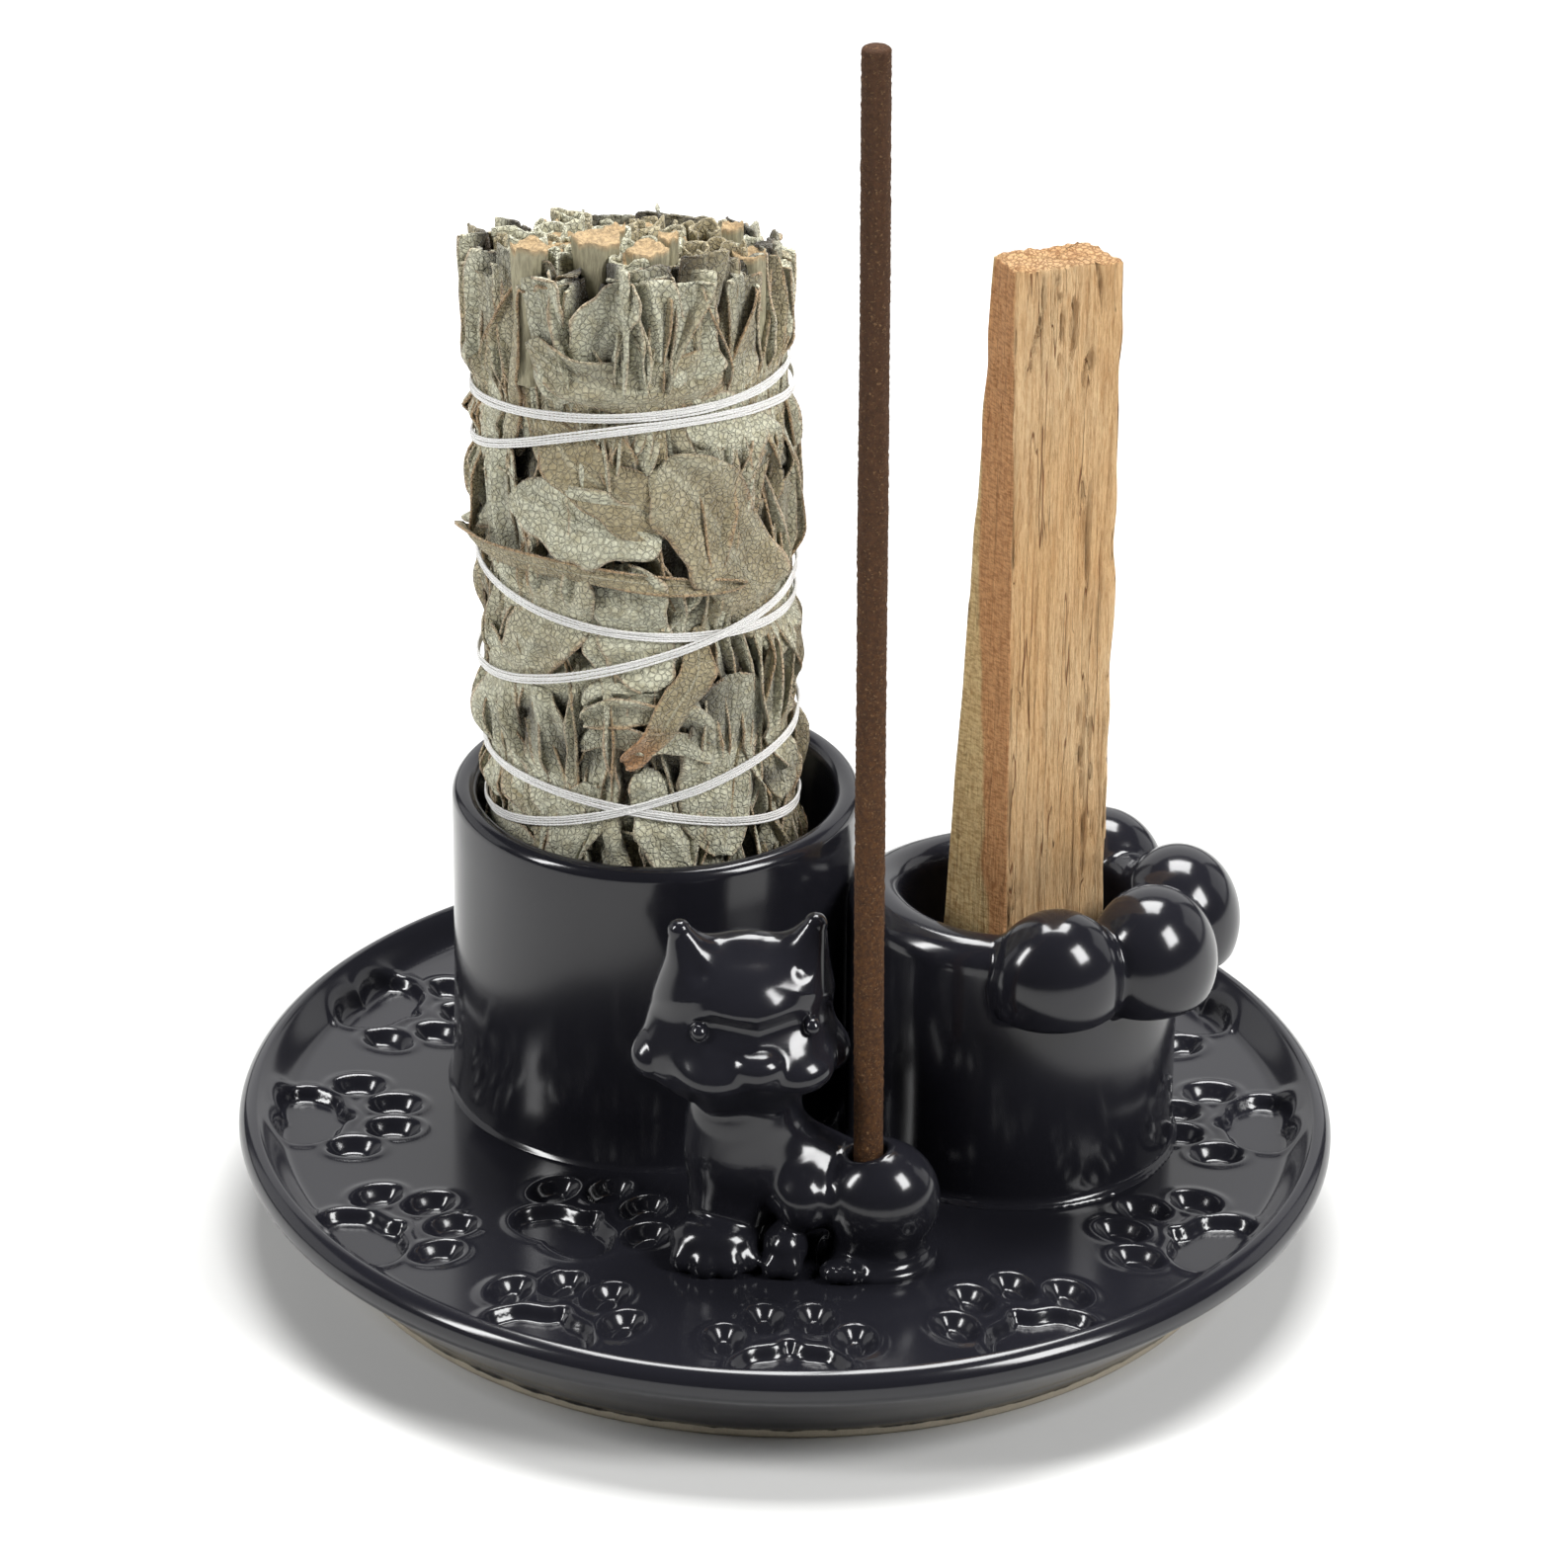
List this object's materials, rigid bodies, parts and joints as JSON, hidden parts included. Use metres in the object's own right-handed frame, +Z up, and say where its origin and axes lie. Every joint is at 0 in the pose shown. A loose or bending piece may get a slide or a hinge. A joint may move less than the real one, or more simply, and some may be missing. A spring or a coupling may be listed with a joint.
{
  "type": "incense burner",
  "caption": "Black glazed ceramic smudging set: dish with paw prints, a round cup, a paw-shaped cup and a cat figure that hold a sage bundle, a wood stick and an incense stick.",
  "frame": {"origin": "on the table under the dish's axis, centre of the bottom of the whole set's box", "axes": "+Z up along the incense stick; +X to the right seen from the front, towards the paw cup; the front, where the cat stands, is towards -Y"},
  "size_m": [0.15, 0.15, 0.1849],
  "materials": {
    "black_glaze": "mirror-gloss black glaze that breaks thinner and browner on sharp edges",
    "bare_clay": "unglazed pale clay on the foot ring's base, glazed black on its outer side",
    "sage_leaf": "dried felted grey-green sage leaves, matte",
    "sage_stem": "dry cut stems, matte tan",
    "cotton_thread": "twisted white cotton thread, matte",
    "palo_santo": "raw split wood with long dark cracks, matte",
    "incense_paste": "pressed gritty incense powder, matte brown"
  },
  "bodies": {
    "holder": {"dish": "black_glaze", "foot_ring": "bare_clay", "sage_cup": "black_glaze", "wood_cup": "black_glaze", "paw_toe_1": "black_glaze", "paw_toe_2": "black_glaze", "paw_toe_3": "black_glaze", "paw_toe_4": "black_glaze", "cat_torso": "black_glaze", "cat_haunch": "black_glaze", "cat_head": "black_glaze", "cat_muzzle": "black_glaze", "cat_ear_left": "black_glaze", "cat_ear_right": "black_glaze", "cat_front_foot_left": "black_glaze", "cat_front_foot_right": "black_glaze", "cat_knee": "black_glaze", "cat_hind_foot": "black_glaze"},
    "bundle": {"sage_bundle": "sage_leaf", "sage_stem_1": "sage_stem", "sage_stem_2": "sage_stem", "sage_stem_3": "sage_stem", "sage_stem_4": "sage_stem", "sage_stem_5": "sage_stem", "sage_stem_6": "sage_stem", "sage_stem_7": "sage_stem", "sage_stem_8": "sage_stem", "sage_stem_9": "sage_stem", "thread_upper_1": "cotton_thread", "thread_upper_2": "cotton_thread", "thread_middle_1": "cotton_thread", "thread_middle_2": "cotton_thread", "thread_lower_1": "cotton_thread", "thread_lower_2": "cotton_thread"},
    "wood": {"palo_santo_stick": "palo_santo"},
    "incense": {"incense_stick": "incense_paste"}
  },
  "joints": [
    {"name": "bundle_lift", "type": "slide", "parent": "holder", "child": "bundle", "axis": [0, 0, 1], "range_m": [0, 0.05]},
    {"name": "wood_lift", "type": "slide", "parent": "holder", "child": "wood", "axis": [0, 0, 1], "range_m": [0, 0.045]},
    {"name": "incense_lift", "type": "slide", "parent": "holder", "child": "incense", "axis": [-0.0122, 0, 0.9999], "range_m": [0, 0.02]}
  ]
}
